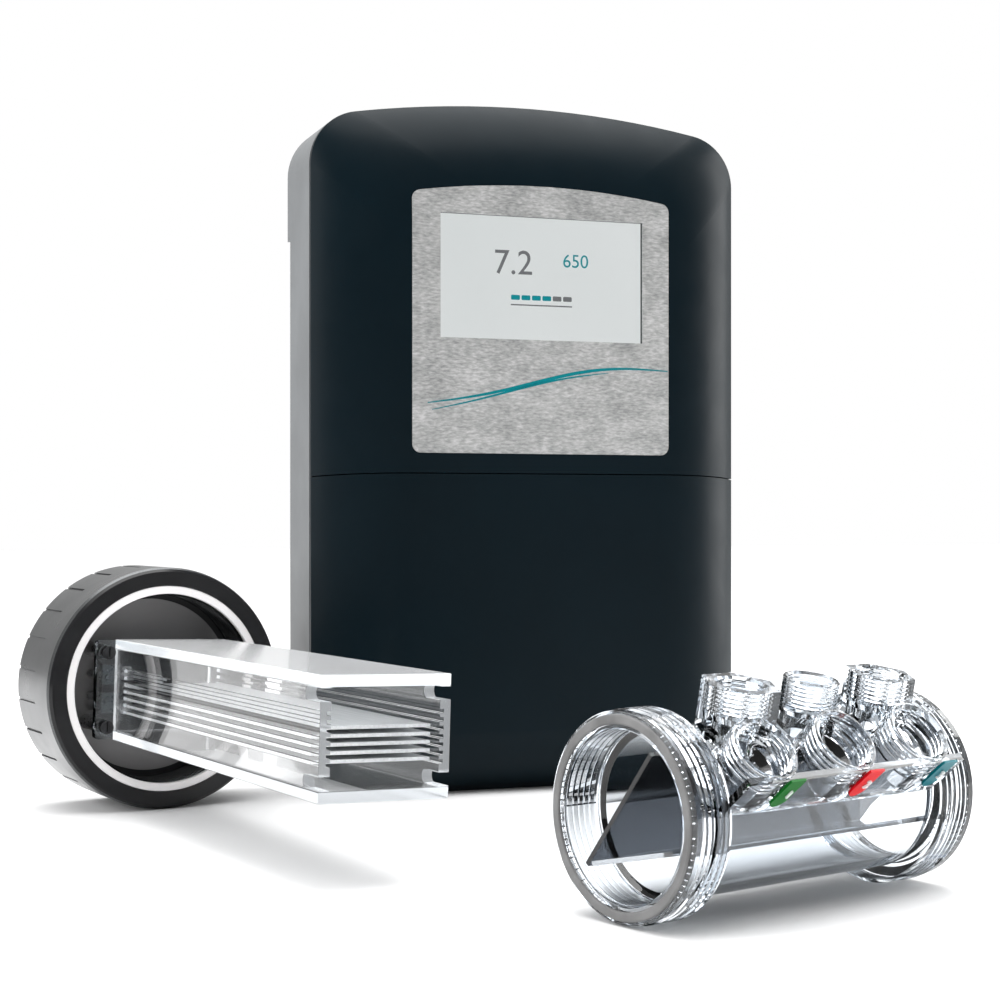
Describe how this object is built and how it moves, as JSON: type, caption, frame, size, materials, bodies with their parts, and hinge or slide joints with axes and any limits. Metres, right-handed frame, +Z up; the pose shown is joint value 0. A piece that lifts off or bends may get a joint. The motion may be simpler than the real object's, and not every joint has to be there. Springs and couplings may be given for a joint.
{
  "type": "salt chlorine generator",
  "caption": "Wall controller with display and terminal cover, clear electrode cartridge with union nut, and clear threaded probe chamber, laid out as a set.",
  "frame": {"origin": "centre of the whole set's bounding box, on the floor", "axes": "+X to the controller's right seen from its front, +Y from the controller's front towards its back, +Z up"},
  "size_m": [0.3276, 0.365, 0.31],
  "materials": {
    "case_dark": "satin moulded plastic, blue-black",
    "case_grey": "satin moulded plastic, mid grey",
    "bezel_metal": "brushed, fine horizontal streaks",
    "lens_clear": "clear polished",
    "display": "pale lit display",
    "board_green": "solder mask",
    "component_black": "moulded",
    "terminal_green": "moulded",
    "steel": "zinc-plated or stainless",
    "metal_case": "folded sheet",
    "rubber_black": "matt",
    "gland_grey": "moulded nylon",
    "socket_metal": "nickel-plated",
    "switch_black": "moulded",
    "bracket_dark": "moulded",
    "nut_black": "polished edge",
    "nut_grey": "metallic grey",
    "ring_white": "smooth",
    "cap_dark": "satin",
    "acrylic": "clear, polished edges",
    "acrylic_smoky": "clear, slightly smoky",
    "titanium": "titanium, satin",
    "electrode": "coated titanium sheet, satin",
    "chamber_clear": "clear, polished",
    "seal_grey": "satin",
    "guide_dark": "smoky",
    "guide_smoky": "lightly smoky",
    "dark_screw": "blackened",
    "tag_green": "printed",
    "tag_red": "printed",
    "tag_teal": "printed"
  },
  "bodies": {
    "controller": {"rear_housing": "case_grey", "housing_seal": "rubber_black", "upper_cover": "case_dark", "bezel_plate": "bezel_metal", "display_lens": "lens_clear", "display_panel": "display", "display_board": "board_green", "display_screws": "steel", "main_board": "board_green", "board_components": "component_black", "terminal_blocks": "terminal_green", "fuse_holder": "component_black", "board_screws": "steel", "power_supply": "metal_case", "heat_sink": "metal_case", "gland_bodies": "gland_grey", "gland_seals": "rubber_black", "gland_locknuts": "gland_grey", "signal_sockets": "socket_metal", "switch_frame": "switch_black", "housing_screws": "steel", "wall_bracket": "bracket_dark", "bracket_screw": "steel"},
    "terminal_cover": {"terminal_cover": "case_dark"},
    "cover_screw_left": {"cover_screw_left": "steel"},
    "cover_screw_right": {"cover_screw_right": "steel"},
    "switch_rocker": {"switch_rocker": "switch_black"},
    "gland_nut_1": {"gland_nut_1": "gland_grey"},
    "gland_nut_2": {"gland_nut_2": "gland_grey"},
    "gland_nut_3": {"gland_nut_3": "gland_grey"},
    "gland_nut_4": {"gland_nut_4": "gland_grey"},
    "cartridge": {"end_cap": "cap_dark", "cap_seal": "rubber_black", "cell_socket": "component_black", "flange_plate": "acrylic_smoky", "flange_pillars": "titanium", "flange_screws": "dark_screw", "electrode_studs": "titanium", "busbars": "titanium", "contact_pins": "titanium", "cage_top": "acrylic", "cage_bottom": "acrylic", "cage_side_left": "acrylic", "cage_side_right": "acrylic", "electrode_plate_1": "electrode", "electrode_plate_2": "electrode", "electrode_plate_3": "electrode", "electrode_plate_4": "electrode", "electrode_plate_5": "electrode"},
    "union_nut": {"union_nut": "nut_black", "nut_grip": "nut_grey", "nut_ring": "ring_white"},
    "probe_chamber": {"chamber_body": "chamber_clear", "end_seal_front": "seal_grey", "end_seal_rear": "seal_grey", "guide_plate_dark": "guide_dark", "guide_plate_clear": "guide_smoky", "tag_green": "tag_green", "tag_red": "tag_red", "tag_teal": "tag_teal"}
  },
  "joints": [
    {"name": "terminal_cover_slide", "type": "slide", "parent": "controller", "child": "terminal_cover", "axis": [0, -1, 0], "range_m": [0, 0.06]},
    {"name": "cover_screw_left_turn", "type": "hinge", "parent": "controller", "child": "cover_screw_left", "pos_m": [-0.01366, 0.14439, 0.025], "axis": [0, 0, 1], "continuous": true},
    {"name": "cover_screw_right_turn", "type": "hinge", "parent": "controller", "child": "cover_screw_right", "pos_m": [0.13634, 0.14439, 0.025], "axis": [0, 0, 1], "continuous": true},
    {"name": "switch_rock", "type": "hinge", "parent": "controller", "child": "switch_rocker", "pos_m": [0.13634, 0.16239, 0.0269], "axis": [0, 1, 0], "range_deg": [0, 22]},
    {"name": "gland_nut_1_turn", "type": "hinge", "parent": "controller", "child": "gland_nut_1", "pos_m": [0.01334, 0.15739, 0.015], "axis": [0, 0, 1], "continuous": true},
    {"name": "gland_nut_2_turn", "type": "hinge", "parent": "controller", "child": "gland_nut_2", "pos_m": [0.04535, 0.15739, 0.015], "axis": [0, 0, 1], "continuous": true},
    {"name": "gland_nut_3_turn", "type": "hinge", "parent": "controller", "child": "gland_nut_3", "pos_m": [0.07734, 0.15739, 0.015], "axis": [0, 0, 1], "continuous": true},
    {"name": "gland_nut_4_turn", "type": "hinge", "parent": "controller", "child": "gland_nut_4", "pos_m": [0.10934, 0.15739, 0.015], "axis": [0, 0, 1], "continuous": true},
    {"name": "cartridge_lift", "type": "slide", "parent": "controller", "child": "cartridge", "axis": [0, 0, 1], "range_m": [0, 0.3]},
    {"name": "union_nut_turn", "type": "hinge", "parent": "cartridge", "child": "union_nut", "pos_m": [-0.10932, 0.14577, 0.0511], "axis": [-0.1783, 0.984, 0], "continuous": true},
    {"name": "probe_chamber_lift", "type": "slide", "parent": "controller", "child": "probe_chamber", "axis": [0, 0, 1], "range_m": [0, 0.3]}
  ]
}
